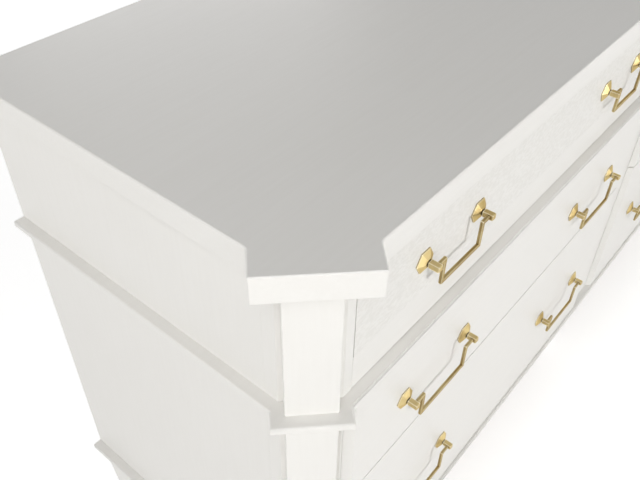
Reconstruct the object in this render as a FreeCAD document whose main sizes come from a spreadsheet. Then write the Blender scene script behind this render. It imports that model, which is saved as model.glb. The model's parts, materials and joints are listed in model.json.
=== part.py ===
import FreeCAD, Part
import math
import os
import re
import Sketcher

# Campaign chest: six drawers in two columns, canted front corners with pilasters under an
# eared top, a thin moulding band at the waist and another at the base, and brass drop bails.
# Frame: +X right along the front, +Y to the back, +Z up, origin on the floor under the middle
# of the overall box. Millimetres.

doc = FreeCAD.newDocument("campaign_chest")

# ---------------------------------------------------------------- driving dimensions

SIZES = [
    ("top_width", 1720.0, "top board between its two straight side edges"),
    ("top_depth", 486.0, "top board from its straight front edge to the back"),
    ("top_thick", 28.0, "thickness of the top board"),
    ("ear_leg", 74.0, "where an ear starts, along each edge from the corner the edges would make"),
    ("ear_step", 32.7, "how far an ear stands out square to its canted face"),
    ("ear_round", 2.0, "radius of an ear's outer corners"),
    ("ear_cove", 6.0, "radius of the inside corners where an ear leaves the straight edges"),
    ("top_arris", 1.2, "small chamfer along the upper edge of the top"),
    ("side_setback", 17.0, "case side behind the side edge of the top"),
    ("front_setback", 20.0, "case front behind the front edge of the top"),
    ("corner_cant", 44.0, "leg of the canted corner, on the side and on the front"),
    ("post_depth", 60.0, "corner post and rails, from the case front to their back"),
    ("stile_width", 12.0, "post face beside the drawer opening"),
    ("side_thick", 20.0, "side panel"),
    ("back_thick", 6.0, "back panel"),
    ("back_rebate", 10.0, "how far the back panel reaches into each side panel"),
    ("floor_thick", 12.0, "bottom board"),
    ("partition_thick", 20.0, "centre partition"),
    ("centre_stile", 82.0, "stile between the two columns of drawers"),
    ("stile_thick", 20.0, "front to back of the centre stile"),
    ("rail_thick", 18.0, "height of a rail between two drawers"),
    ("pilaster_width", 52.0, "pilaster on the canted corner"),
    ("pilaster_proud", 17.5, "how far a pilaster stands out from the cant"),
    ("pilaster_arris", 1.0, "small chamfer down a pilaster's two front edges"),
    ("shadow_groove", 7.0, "depth of the groove in the post beside a lower pilaster"),
    ("band_proud", 14.0, "how far a moulding band stands out from the case and pilaster"),
    ("band_thick", 9.5, "thickness of a moulding band"),
    ("band_round", 2.4, "radius of a band's outer edges"),
    ("base_height", 165.0, "floor to the underside of the base band"),
    ("apron_height", 48.0, "rail under the case between the feet"),
    ("apron_thick", 20.0, "thickness of the apron rails"),
    ("apron_setback", 14.0, "apron behind the case face"),
    ("foot_width", 86.0, "corner foot at its top"),
    ("toe_inset", 7.0, "outer faces of a corner foot, from their place at the top in to the floor"),
    ("toe_taper", 21.0, "inner faces of a corner foot, from their place at the top in to the floor"),
    ("centre_foot", 60.0, "square centre foot at its top"),
    ("centre_taper", 9.0, "faces of a centre foot, from their place at the top in to the floor"),
    ("glide_height", 4.0, "glide under each foot"),
    ("glide_radius", 14.0, "glide under each foot"),
    ("glide_sides", 24, "facets round the rim of a glide"),
    ("low_front", 300.1, "height of a bottom drawer front"),
    ("middle_front", 174.1, "height of a middle drawer front"),
    ("frieze", 174.0, "waist band to the underside of the top"),
    ("row_gap", 2.0, "gap between the middle and bottom drawer fronts"),
    ("band_gap", 0.6, "gap between a drawer front and a band"),
    ("reveal", 0.6, "gap round the other edges of a frieze drawer front"),
    ("front_proud", 9.2, "how far the lower drawer faces stand out from the case"),
    ("front_lap", 9.2, "lower drawer front over the stile at each end of its opening"),
    ("bevel", 8.5, "45 degree bevel down each end of a lower drawer front"),
    ("lay_gap", 0.3, "running gap behind a lower drawer front"),
    ("inset_thick", 20.0, "thickness of a frieze drawer front"),
    ("inlay_low", 45.4, "bottom of a frieze front to the textured panel"),
    ("inlay_height", 93.0, "height of the textured panel"),
    ("inlay_recess", 4.0, "depth of the recess that holds the textured panel"),
    ("inlay_thick", 3.7, "thickness of the textured panel"),
    ("inlay_end", 0.9, "slot between the textured panel and each end of its drawer front"),
    ("inlay_chamfer", 0.8, "small bevel along the two long edges of the recess"),
    ("box_side", 12.0, "drawer side, box front and box back"),
    ("box_floor", 6.0, "drawer bottom"),
    ("floor_groove", 6.0, "how deep the drawer bottom sits in its grooves"),
    ("floor_lift", 10.0, "underside of the drawer box to the groove"),
    ("groove_play", 0.2, "play of the drawer bottom in the depth of its grooves"),
    ("box_clear", 1.5, "drawer box to the guide on each side"),
    ("box_reach", 440.0, "case front to the back of a drawer box"),
    ("shallow_box", 138.0, "height of a frieze or middle drawer box"),
    ("deep_box", 255.0, "height of a bottom drawer box"),
    ("ledge_thick", 9.0, "runner ledge under a drawer side"),
    ("ledge_width", 12.0, "runner ledge under a drawer side"),
    ("guide_height", 30.0, "runner block beside a drawer"),
    ("runner_play", 0.3, "drawer box above its runner ledge"),
    ("frieze_reach", 213.5, "centre of a frieze drawer pull to the middle of its drawer"),
    ("lower_reach", 217.5, "centre of a lower drawer pull to the middle of its drawer"),
    ("middle_pull", 82.0, "bottom of a middle drawer front to the pins of its pulls"),
    ("low_pull", 150.4, "bottom of a bottom drawer front to the pins of its pulls"),
    ("small_pull", 101.6, "post to post on a frieze drawer pull"),
    ("large_pull", 127.0, "post to post on a lower drawer pull"),
    ("rosette_radius", 14.5, "hexagonal rosette, centre to corner"),
    ("rosette_rim", 1.5, "flat rim of the rosette"),
    ("rosette_rise", 5.8, "drawer face to the crown of the rosette"),
    ("rosette_crown", 5.2, "crown of the rosette, centre to corner"),
    ("neck_size", 4.8, "square neck between rosette and post"),
    ("neck_length", 1.2, "square neck between rosette and post"),
    ("post_size", 6.8, "square post of a pull"),
    ("post_reach", 19.6, "drawer face to the end of a pull's post"),
    ("post_chamfer", 0.8, "chamfer round the end of a pull's post"),
    ("bail_plane", 14.2, "drawer face to the middle of the bail"),
    ("bail_bar", 4.0, "square bar of a bail"),
    ("bail_arris", 0.5, "small chamfer along the edges of the bar"),
    ("small_inset", 14.7, "post centre to bail arm on a frieze pull"),
    ("large_inset", 17.8, "post centre to bail arm on a lower pull"),
    ("small_drop", 30.8, "pivot to the middle of the grip on a frieze pull"),
    ("large_drop", 34.3, "pivot to the middle of the grip on a lower pull"),
    ("bail_play", 0.3, "end of a bail to the inner face of its post, and of its pin to the bore"),
    ("pin_radius", 1.4, "round pin at each end of a bail"),
    ("pin_length", 2.9, "pin at each end of a bail"),
    ("pin_clear", 0.06, "radial clearance of the pin"),
]

sheet = doc.addObject("Spreadsheet::Sheet", "Sizes")
for row, (alias, number, note) in enumerate(SIZES, start=1):
    sheet.set(f"A{row}", note)
    sheet.set(f"B{row}", str(number))
    sheet.setAlias(f"B{row}", alias)
doc.recompute()

ALIASES = {alias for alias, _, _ in SIZES}
WORD = re.compile(r"[a-z_]+")
TOLERANCE = 1e-3


def bound(text):
    """A sum of named sizes as an expression that reads them from the sheet."""
    def name(match):
        word = match.group(0)
        return f"Sizes.{word}" if word in ALIASES else word
    return WORD.sub(name, text)


def value(text):
    """The present value of such a sum, as a plain number."""
    result = sheet.evalExpression(bound(text))
    return float(getattr(result, "Value", result))


# ---------------------------------------------------------------- places, as sums of sizes

EAR_REACH = "(ear_step / sqrt(2) - ear_round * (sqrt(2) - 1))"
BACK = f"((top_depth + {EAR_REACH}) / 2)"
TOP_FRONT = f"({BACK} - top_depth)"
CASE_FRONT = f"({TOP_FRONT} + front_setback)"
CASE_SIDE = "(top_width / 2 - side_setback)"
CANT_SIDE = f"({CASE_SIDE} - corner_cant)"
OPENING_OUT = f"({CANT_SIDE} - stile_width)"
OPENING_IN = "(centre_stile / 2)"
OPENING_MIDDLE = f"(({OPENING_OUT} + {OPENING_IN}) / 2)"
OPENING_HALF = f"(({OPENING_OUT} - {OPENING_IN}) / 2)"

CASE_LOW = "base_height"
BASE_TOP = "(base_height + band_thick)"
LOW_Z = f"({BASE_TOP} + band_gap)"
MIDDLE_Z = f"({LOW_Z} + low_front + row_gap)"
WAIST_LOW = f"({MIDDLE_Z} + middle_front + band_gap)"
WAIST_TOP = f"({WAIST_LOW} + band_thick)"
FRIEZE_Z = f"({WAIST_TOP} + band_gap)"
TOP_LOW = f"({WAIST_TOP} + frieze)"
FRIEZE_FRONT = "(frieze - band_gap - reveal)"
CASE_HEIGHT = f"({TOP_LOW} - {CASE_LOW})"
LOWER_HEIGHT = f"({WAIST_LOW} - {BASE_TOP})"

POST_BACK = f"({CASE_FRONT} + post_depth)"
INSIDE = f"({CASE_SIDE} - side_thick)"
INNER_BACK = f"({BACK} - back_thick)"
PARTITION_FRONT = f"({CASE_FRONT} + stile_thick)"

# The tops of the rails and of the runner ledges, on which the drawer boxes ride.
LOW_RIDE = f"({CASE_LOW} + floor_thick + ledge_thick)"
MIDDLE_RIDE = f"({MIDDLE_Z} - row_gap / 2 + rail_thick / 2)"
TOP_RIDE = WAIST_TOP


# ---------------------------------------------------------------- helpers

def about_z(degrees):
    return FreeCAD.Rotation(FreeCAD.Vector(0, 0, 1), degrees)


UNTURNED = about_z(0)
# Stands an object up whose own length lies along Y.
UPRIGHT = FreeCAD.Rotation(FreeCAD.Vector(1, 0, 0), 90)


def place(thing, x="0", y="0", z="0", turned=UNTURNED):
    """Puts an object at sums of sizes."""
    thing.Placement = FreeCAD.Placement(FreeCAD.Vector(value(x), value(y), value(z)), turned)
    for axis, text in (("x", x), ("y", y), ("z", z)):
        thing.setExpression(f".Placement.Base.{axis}", bound(text))
    return thing


def new_body(label):
    body = doc.addObject("PartDesign::Body", label)
    body.Label = label
    return body


def new_sketch(body, name, role, lift="0"):
    """A sketch on one of the body's own planes, lifted along that plane's normal."""
    sketch = body.newObject("Sketcher::SketchObject", name)
    plane = next(feature for feature in body.Origin.OriginFeatures if feature.Role == role)
    sketch.AttachmentSupport = [(plane, "")]
    sketch.MapMode = "FlatFace"
    offset = FreeCAD.Vector(0, 0, value(lift))
    sketch.AttachmentOffset = FreeCAD.Placement(offset, FreeCAD.Rotation())
    sketch.setExpression(".AttachmentOffset.Base.z", bound(lift))
    return sketch


def hold(sketch, kind, geometry, point, text):
    """Holds a point of the sketch at a signed distance from its origin."""
    held = sketch.addConstraint(
        Sketcher.Constraint(kind, -1, 1, geometry, point, value(text)))
    sketch.setExpression(f"Constraints[{held}]", bound(text))


def outline(sketch, points):
    """A closed outline whose corners are pairs of sums."""
    first = sketch.GeometryCount
    places = [FreeCAD.Vector(value(x), value(y), 0) for x, y in points]
    count = len(places)
    for i in range(count):
        sketch.addGeometry(Part.LineSegment(places[i], places[(i + 1) % count]), False)
    for i in range(count):
        after = first + (i + 1) % count
        sketch.addConstraint(Sketcher.Constraint("Coincident", first + i, 2, after, 1))
    for i, (x, y) in enumerate(points):
        hold(sketch, "DistanceX", first + i, 1, x)
        hold(sketch, "DistanceY", first + i, 1, y)


def circle(sketch, x, y, radius):
    """A circle held by its centre and radius."""
    centre = FreeCAD.Vector(value(x), value(y), 0)
    index = sketch.addGeometry(Part.Circle(centre, FreeCAD.Vector(0, 0, 1), value(radius)), False)
    size = sketch.addConstraint(Sketcher.Constraint("Radius", index, value(radius)))
    sketch.setExpression(f"Constraints[{size}]", bound(radius))
    hold(sketch, "DistanceX", index, 3, x)
    hold(sketch, "DistanceY", index, 3, y)


def extrude(body, kind, name, sketch, length, back=False):
    """A Pad or a Pocket of a sketch, checked to have changed the body."""
    before = body.Shape.Volume if body.Tip else 0.0
    feature = body.newObject(f"PartDesign::{kind}", name)
    feature.Profile = sketch
    feature.Reversed = back
    feature.Length = value(length)
    feature.setExpression("Length", bound(length))
    doc.recompute()
    if abs(feature.Shape.Volume - before) < TOLERANCE:
        raise RuntimeError(f"{name} changed nothing")
    return feature


def dress(body, kind, name, wanted, size):
    """A Fillet or a Chamfer on the edges of the body for which wanted(edge) is true."""
    doc.recompute()
    base = body.Tip
    edges = [f"Edge{i}" for i, edge in enumerate(base.Shape.Edges, start=1) if wanted(edge)]
    feature = body.newObject(f"PartDesign::{kind}", name)
    feature.Base = (base, edges)
    cell = "Radius" if kind == "Fillet" else "Size"
    setattr(feature, cell, value(size))
    feature.setExpression(cell, bound(size))
    return feature


def ends(edge):
    return [vertex.Point for vertex in edge.Vertexes]


def same(a, b):
    return abs(a - b) < TOLERANCE


def is_level(edge):
    return same(ends(edge)[0].z, ends(edge)[-1].z)


def prism(label, points, height, x="0", y="0", z="0", turned=UNTURNED):
    """A body with a plan outline pulled straight up."""
    body = new_body(label)
    plan = new_sketch(body, f"{label}_plan", "XY_Plane")
    outline(plan, points)
    extrude(body, "Pad", f"{label}_pad", plan, height)
    return place(body, x, y, z, turned)


def profile_bar(label, points, length, x="0", y="0", z="0"):
    """A body with an outline across the front pulled straight to the back."""
    body = new_body(label)
    section = new_sketch(body, f"{label}_section", "XZ_Plane")
    outline(section, points)
    extrude(body, "Pad", f"{label}_pad", section, length, back=True)
    return place(body, x, y, z)


def board(label, x, y, z, length, width, height):
    """A plain rectangular board, placed by its lowest corner."""
    piece = doc.addObject("Part::Box", label)
    piece.Label = label
    for cell, text in (("Length", length), ("Width", width), ("Height", height)):
        piece.setExpression(cell, bound(text))
    return place(piece, x, y, z)


def group(label, pieces):
    """Several separate solids that share one node."""
    made = doc.addObject("Part::Compound", label)
    made.Label = label
    made.Links = pieces
    return made


def reflected(points):
    return [(f"(-1) * ({x})", y) for x, y in reversed(points)]


def rectangle(low_x, high_x, low_y, high_y):
    return [(low_x, low_y), (high_x, low_y), (high_x, high_y), (low_x, high_y)]


def square(half):
    return rectangle(f"(-{half})", half, f"(-{half})", half)


SIDES = [("left", -1), ("right", 1)]
nodes = []


# ---------------------------------------------------------------- top

def make_top():
    """The board with a canted ear over each pilaster."""
    edge = "(-top_width / 2)"
    out = "ear_step / sqrt(2)"
    side_root = (edge, f"{TOP_FRONT} + ear_leg")
    side_tip = (f"{edge} - {out}", f"{TOP_FRONT} + ear_leg - {out}")
    front_tip = (f"{edge} + ear_leg - {out}", f"{TOP_FRONT} - {out}")
    front_root = (f"{edge} + ear_leg", TOP_FRONT)
    half = [(edge, BACK), side_root, side_tip, front_tip, front_root]
    body = prism("top_board", half + reflected(half), "top_thick", z=TOP_LOW)
    for size, corners in (("ear_cove", (side_root, front_root)),
                          ("ear_round", (side_tip, front_tip))):
        spots = [(abs(value(x)), value(y)) for x, y in corners]
        dress(body, "Fillet", f"top_{size}", lambda e: not is_level(e) and any(
            math.dist((abs(ends(e)[0].x), ends(e)[0].y), spot) < TOLERANCE for spot in spots), size)
    thick, rear = value("top_thick"), value(BACK)
    dress(body, "Chamfer", "top_soft_edge", lambda e: all(
        same(p.z, thick) for p in ends(e)) and not all(
        same(p.y, rear) for p in ends(e)), "top_arris")
    return body


nodes.append(make_top())


# ---------------------------------------------------------------- case

def along_cant(side, out, across):
    """A point on a canted corner: out from the cant, and across it towards the front."""
    x = f"{side} * ({CASE_SIDE} - corner_cant / 2 + (({out}) - ({across})) / sqrt(2))"
    y = f"{CASE_FRONT} + corner_cant / 2 - (({out}) + ({across})) / sqrt(2)"
    return x, y


def make_side(name, side):
    """A side panel with a rebate for the back panel down its rear inner edge."""
    points = [
        (CASE_SIDE, POST_BACK),
        (CASE_SIDE, BACK),
        (f"({CASE_SIDE} - back_rebate)", BACK),
        (f"({CASE_SIDE} - back_rebate)", INNER_BACK),
        (INSIDE, INNER_BACK),
        (INSIDE, POST_BACK),
    ]
    return prism(name, [(f"{side} * {x}", y) for x, y in points], CASE_HEIGHT, z=CASE_LOW)


def make_post(name, side):
    """A corner post: the cant, the narrow stile, and a groove beside the lower pilaster."""
    points = [
        (CASE_SIDE, f"{CASE_FRONT} + corner_cant"),
        (CANT_SIDE, CASE_FRONT),
        (OPENING_OUT, CASE_FRONT),
        (OPENING_OUT, POST_BACK),
        (CASE_SIDE, POST_BACK),
    ]
    body = prism(name, [(f"{side} * {x}", y) for x, y in points], CASE_HEIGHT, z=CASE_LOW)
    near, far = "pilaster_width / 2", "corner_cant / sqrt(2)"
    cut = new_sketch(body, f"{name}_groove_plan", "XY_Plane", "band_thick")
    outline(cut, [
        along_cant(side, "stile_width", near),
        along_cant(side, "stile_width", far),
        along_cant(side, "(-shadow_groove)", far),
        along_cant(side, "(-shadow_groove)", near),
    ])
    extrude(body, "Pocket", f"{name}_groove", cut, LOWER_HEIGHT, back=True)
    return body


def make_pilaster(name, side, z, height):
    """A flat pilaster on the cant with its two front edges taken off."""
    half = "pilaster_width / 2"
    points = [
        (f"(-{half})", "0"),
        (f"(-{half})", "(-pilaster_proud + pilaster_arris)"),
        (f"(-{half} + pilaster_arris)", "(-pilaster_proud)"),
        (f"({half} - pilaster_arris)", "(-pilaster_proud)"),
        (f"({half})", "(-pilaster_proud + pilaster_arris)"),
        (f"({half})", "0"),
    ]
    x, y = along_cant(side, "0", "0")
    return prism(name, points, height, x, y, z, about_z(45 * side))


def make_band(name, z):
    """A moulding band in five mitred lengths: two sides, two ears and the front."""
    mitre = "((sqrt(2) - 1) * band_proud)"
    wrap = "(pilaster_width / 2 + band_proud)"
    out = "(pilaster_proud + band_proud)"
    reach = f"(sqrt(2) * {wrap} - band_proud)"
    side_end = (f"({CASE_SIDE} + band_proud)", f"{CASE_FRONT} + {reach}")
    side_mitre = (CASE_SIDE, f"{CASE_FRONT} + {reach} - {mitre}")
    front_end = (f"({CASE_SIDE} - {reach})", f"{CASE_FRONT} - band_proud")
    front_mitre = (f"({CASE_SIDE} - {reach} + {mitre})", CASE_FRONT)
    ear = [
        side_end,
        along_cant("1", out, f"(-{wrap})"),
        along_cant("1", out, wrap),
        front_end,
        front_mitre,
        (CANT_SIDE, CASE_FRONT),
        (CASE_SIDE, f"{CASE_FRONT} + corner_cant"),
        side_mitre,
    ]
    side_run = [side_end, side_mitre, (CASE_SIDE, BACK), (f"({CASE_SIDE} + band_proud)", BACK)]
    front_run = [front_mitre, front_end]
    lengths = [(f"{name}_front", front_run + reflected(front_run))]
    for word, side in SIDES:
        lengths.append((f"{name}_ear_{word}", [(f"{side} * ({x})", y) for x, y in ear]))
        lengths.append((f"{name}_side_{word}", [(f"{side} * ({x})", y) for x, y in side_run]))
    corners = [(value(x), value(y)) for x, y in ear[:4] + side_run[3:]]

    def is_outer(edge):
        spots = [(abs(p.x), p.y) for p in ends(edge)]
        return is_level(edge) and all(
            any(math.dist(spot, corner) < TOLERANCE for corner in corners) for spot in spots)

    pieces = []
    for label, points in lengths:
        piece = prism(label, points, "band_thick", z=z)
        dress(piece, "Fillet", f"{label}_soft_edge", is_outer, "band_round")
        pieces.append(piece)
    return group(name, pieces)


def make_floor():
    """The bottom board, notched round the corner posts and the centre stile."""
    half = [
        (f"-1 * {INSIDE}", INNER_BACK),
        (f"-1 * {INSIDE}", POST_BACK),
        (f"-1 * {OPENING_OUT}", POST_BACK),
        (f"-1 * {OPENING_OUT}", CASE_FRONT),
        (f"-1 * {OPENING_IN}", CASE_FRONT),
        (f"-1 * {OPENING_IN}", PARTITION_FRONT),
    ]
    return prism("bottom_board", half + reflected(half), "floor_thick", z=CASE_LOW)


def make_rails():
    """The rails between two rows of drawers, in each column, as deep as the corner posts."""
    pieces = []
    for row, top in (("waist", TOP_RIDE), ("middle", MIDDLE_RIDE)):
        for word, start in (("left", f"-1 * {OPENING_OUT}"), ("right", OPENING_IN)):
            pieces.append(board(f"{row}_rail_{word}", start, CASE_FRONT, f"{top} - rail_thick",
                                f"2 * {OPENING_HALF}", "post_depth", "rail_thick"))
    return group("front_rails", pieces)


for word, side in SIDES:
    nodes.append(make_side(f"side_panel_{word}", side))
    nodes.append(make_post(f"corner_post_{word}", side))
    nodes.append(make_pilaster(f"upper_pilaster_{word}", side, WAIST_TOP, "frieze"))
    nodes.append(make_pilaster(f"lower_pilaster_{word}", side, BASE_TOP, LOWER_HEIGHT))
nodes.append(make_band("waist_moulding", WAIST_LOW))
nodes.append(make_band("base_moulding", CASE_LOW))
nodes.append(board("back_panel", f"-1 * ({CASE_SIDE} - back_rebate)", INNER_BACK, CASE_LOW,
                   f"2 * ({CASE_SIDE} - back_rebate)", "back_thick", CASE_HEIGHT))
nodes.append(make_floor())
nodes.append(board("centre_stile", f"-1 * {OPENING_IN}", CASE_FRONT, CASE_LOW,
                   "centre_stile", "stile_thick", CASE_HEIGHT))
nodes.append(board("centre_partition", "(-partition_thick / 2)", PARTITION_FRONT,
                   f"{CASE_LOW} + floor_thick", "partition_thick",
                   f"{INNER_BACK} - {PARTITION_FRONT}", f"{CASE_HEIGHT} - floor_thick"))
nodes.append(make_rails())


# ---------------------------------------------------------------- runners

# Name of a row, underside and height of its front, pins of its pulls above that underside,
# top of its runners, and height of its box.
ROWS = [
    ("top", FRIEZE_Z, FRIEZE_FRONT, "inlay_low + inlay_height / 2", TOP_RIDE, "shallow_box"),
    ("middle", MIDDLE_Z, "middle_front", "middle_pull", MIDDLE_RIDE, "shallow_box"),
    ("bottom", LOW_Z, "low_front", "low_pull", LOW_RIDE, "deep_box"),
]


def make_runner(name, side, wall, edge, inward, ride):
    """An L-shaped runner: a block beside the drawer and a ledge under its side."""
    lip = f"({edge} + {inward} * ledge_width)"
    points = [
        (wall, "(-ledge_thick)"),
        (lip, "(-ledge_thick)"),
        (lip, "0"),
        (edge, "0"),
        (edge, "(guide_height - ledge_thick)"),
        (wall, "(guide_height - ledge_thick)"),
    ]
    return profile_bar(name, [(f"{side} * {x}", z) for x, z in points],
                       f"{INNER_BACK} - {POST_BACK}", y=POST_BACK, z=ride)


runners = []
for word, side in SIDES:
    for row, _, _, _, ride, _ in ROWS:
        runners.append(make_runner(f"runner_{row}_{word}_outer", side, INSIDE, OPENING_OUT, -1, ride))
        runners.append(make_runner(f"runner_{row}_{word}_inner", side, "(partition_thick / 2)",
                                   OPENING_IN, 1, ride))
nodes.append(group("drawer_runners", runners))


# ---------------------------------------------------------------- base

def make_block(name, low, low_taper, high, high_taper):
    """A square block from low to high in plan, which narrows by the tapers towards the floor."""
    wedge = doc.addObject("Part::Wedge", name)
    for axis in "XZ":
        wedge.setExpression(f"{axis}min", bound(f"{low} + {low_taper}"))
        wedge.setExpression(f"{axis}max", bound(f"{high} - {high_taper}"))
        wedge.setExpression(f"{axis}2min", bound(low))
        wedge.setExpression(f"{axis}2max", bound(high))
    wedge.Ymin = 0
    wedge.setExpression("Ymax", bound("base_height - glide_height"))
    return wedge


def corner_block(name, side, rear):
    """The tapered block under a corner of the case, turned so that its outer corner faces out."""
    turns = {(-1, True): 0, (-1, False): 1, (1, False): 2, (1, True): 3}[(side, rear)]
    block = make_block(name, "0", "toe_inset", "foot_width", "toe_taper")
    return place(block, f"{side} * {CASE_SIDE}", BACK if rear else CASE_FRONT, "glide_height",
                 about_z(90 * turns).multiply(UPRIGHT))


def make_front_foot(name, side):
    """A corner block cut to the canted corner of the case."""
    far = f"({CASE_SIDE} - foot_width)"
    plan = [
        (CASE_SIDE, f"{CASE_FRONT} + corner_cant"),
        (CANT_SIDE, CASE_FRONT),
        (far, CASE_FRONT),
        (far, f"{CASE_FRONT} + foot_width"),
        (CASE_SIDE, f"{CASE_FRONT} + foot_width"),
    ]
    foot = doc.addObject("Part::Common", name)
    foot.Label = name
    foot.Base = corner_block(f"{name}_block", side, rear=False)
    foot.Tool = prism(f"{name}_plan", [(f"{side} * {x}", y) for x, y in plan], "base_height")
    return foot


APRON_IN = "(apron_setback + apron_thick)"
FOOT_FRONT_Y = f"({CASE_FRONT} + {APRON_IN} + centre_foot / 2)"
FOOT_BACK_Y = f"({BACK} - {APRON_IN} - centre_foot / 2)"


def make_apron():
    """The rails under the case between the feet."""
    low = "(base_height - apron_height)"
    start = f"-1 * ({CASE_SIDE} - foot_width)"
    run = f"(2 * ({CASE_SIDE} - foot_width))"
    depth = f"({BACK} - {CASE_FRONT} - 2 * foot_width)"
    side_y = f"{CASE_FRONT} + foot_width"
    return group("apron_rails", [
        board("apron_front", start, f"{CASE_FRONT} + apron_setback", low,
              run, "apron_thick", "apron_height"),
        board("apron_rear", start, f"{BACK} - {APRON_IN}", low, run, "apron_thick", "apron_height"),
        board("apron_left", f"-1 * ({CASE_SIDE} - apron_setback)", side_y, low,
              "apron_thick", depth, "apron_height"),
        board("apron_right", f"{CASE_SIDE} - {APRON_IN}", side_y, low,
              "apron_thick", depth, "apron_height"),
    ])


def make_glides():
    """A many-sided glide under the middle of every foot."""
    middle = "((toe_inset + foot_width - toe_taper) / 2)"
    spots = [(f"{side} * ({CASE_SIDE} - {middle})", y) for _, side in SIDES
             for y in (f"{CASE_FRONT} + {middle}", f"{BACK} - {middle}")]
    spots += [("0", FOOT_FRONT_Y), ("0", FOOT_BACK_Y)]
    glides = []
    for i, (x, y) in enumerate(spots, start=1):
        glide = doc.addObject("Part::Prism", f"glide_{i}")
        glide.setExpression("Polygon", bound("glide_sides"))
        glide.setExpression("Circumradius", bound("glide_radius"))
        glide.setExpression("Height", bound("glide_height"))
        glides.append(place(glide, x, y))
    return group("floor_glides", glides)


nodes += [make_front_foot(f"front_foot_{word}", side) for word, side in SIDES]
square_feet = [corner_block(f"rear_foot_{word}", side, rear=True) for word, side in SIDES]
for word, y in (("front", FOOT_FRONT_Y), ("rear", FOOT_BACK_Y)):
    block = make_block(f"centre_foot_{word}", "-centre_foot / 2", "centre_taper",
                       "centre_foot / 2", "centre_taper")
    square_feet.append(place(block, "0", y, "glide_height", UPRIGHT))
nodes.append(group("square_feet", square_feet))
nodes.append(make_apron())
nodes.append(make_glides())


# ---------------------------------------------------------------- drawer fronts and boxes

def make_lower_front(name, height):
    """An overlay front with a 45 degree bevel down each end."""
    half = f"({OPENING_HALF} + front_lap)"
    thick = "(front_proud - lay_gap)"
    points = [
        (f"(-{half})", thick),
        (f"(-{half})", "bevel"),
        (f"(-{half} + bevel)", "0"),
        (f"({half} - bevel)", "0"),
        (half, "bevel"),
        (half, thick),
    ]
    return prism(name, points, height)


def make_frieze_front(name):
    """An inset front with a long recess for its textured panel."""
    half = f"({OPENING_HALF} - reveal)"
    high = "(inlay_low + inlay_height)"
    points = [
        ("0", "0"),
        ("inset_thick", "0"),
        ("inset_thick", FRIEZE_FRONT),
        ("0", FRIEZE_FRONT),
        ("0", f"({high} + inlay_chamfer)"),
        ("inlay_chamfer", high),
        ("inlay_recess", high),
        ("inlay_recess", "inlay_low"),
        ("inlay_chamfer", "inlay_low"),
        ("0", "(inlay_low - inlay_chamfer)"),
    ]
    body = new_body(name)
    section = new_sketch(body, f"{name}_section", "YZ_Plane", f"(-{half})")
    outline(section, points)
    extrude(body, "Pad", f"{name}_pad", section, f"(2 * {half})")
    return body


def make_inlay(name, x, row_z):
    """The textured panel in the recess of a frieze drawer front, short of its two ends."""
    half = f"({OPENING_HALF} - reveal - inlay_end)"
    points = rectangle(f"(-{half})", half, "inlay_low", "(inlay_low + inlay_height)")
    return profile_bar(name, points, "inlay_thick", x,
                       f"{CASE_FRONT} + inlay_recess - inlay_thick", row_z)


def make_box(name, x, front_y, z, height):
    """The drawer box: two grooved sides, with a front and a back between them."""
    half = f"({OPENING_HALF} - box_clear)"
    length = f"({CASE_FRONT} + box_reach - {front_y})"
    above = "(floor_lift + box_floor)"
    inner = f"({half} - box_side)"
    groove = f"({half} - box_side + floor_groove)"
    points = [(half, "0"), (half, height), (inner, height), (inner, above), (groove, above),
              (groove, "floor_lift"), (inner, "floor_lift"), (inner, "0")]
    pieces = [profile_bar(f"{name}_side_{word}", [(f"{way} * {px}", pz) for px, pz in points],
                          length, x, front_y, z) for word, way in SIDES]
    across = rectangle(f"(-{inner})", inner, above, height)
    head = profile_bar(f"{name}_head", across, "box_side", x, front_y, z)
    tail = profile_bar(f"{name}_tail", across, "box_side", x, f"{front_y} + {length} - box_side", z)
    return group(name, pieces + [head, tail])


def make_bottom(name, x, front_y, z):
    """The thin bottom that slides into the grooves of the sides, under the front and back."""
    half = f"({OPENING_HALF} - box_clear - box_side + floor_groove - groove_play)"
    return board(name, f"{x} - {half}", front_y, f"{z} + floor_lift", f"(2 * {half})",
                 f"({CASE_FRONT} + box_reach - {front_y})", "box_floor")


# ---------------------------------------------------------------- pulls

def hexagon(radius):
    """A hexagon with flat top and bottom sides."""
    half, tall = f"({radius} / 2)", f"({radius} * sqrt(3) / 2)"
    upper = [(radius, "0"), (half, tall), (f"(-{half})", tall)]
    return upper + [(f"(-1) * {x}", f"(-1) * {y}") for x, y in upper]


def make_rosette(name):
    """A hexagonal plate, cut back from a low rim in six facets to a small crown."""
    body = new_body(name)
    plan = new_sketch(body, f"{name}_plan", "XZ_Plane")
    outline(plan, hexagon("rosette_radius"))
    extrude(body, "Pad", f"{name}_plate", plan, "rosette_rise")
    crown = -value("rosette_rise")
    facets = dress(body, "Chamfer", f"{name}_facets", lambda e: all(
        same(p.y, crown) for p in ends(e)), "rosette_rise - rosette_rim")
    facets.ChamferType = "Two distances"
    facets.setExpression("Size2", bound("(rosette_radius - rosette_crown) * sqrt(3) / 2"))
    return body


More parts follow.
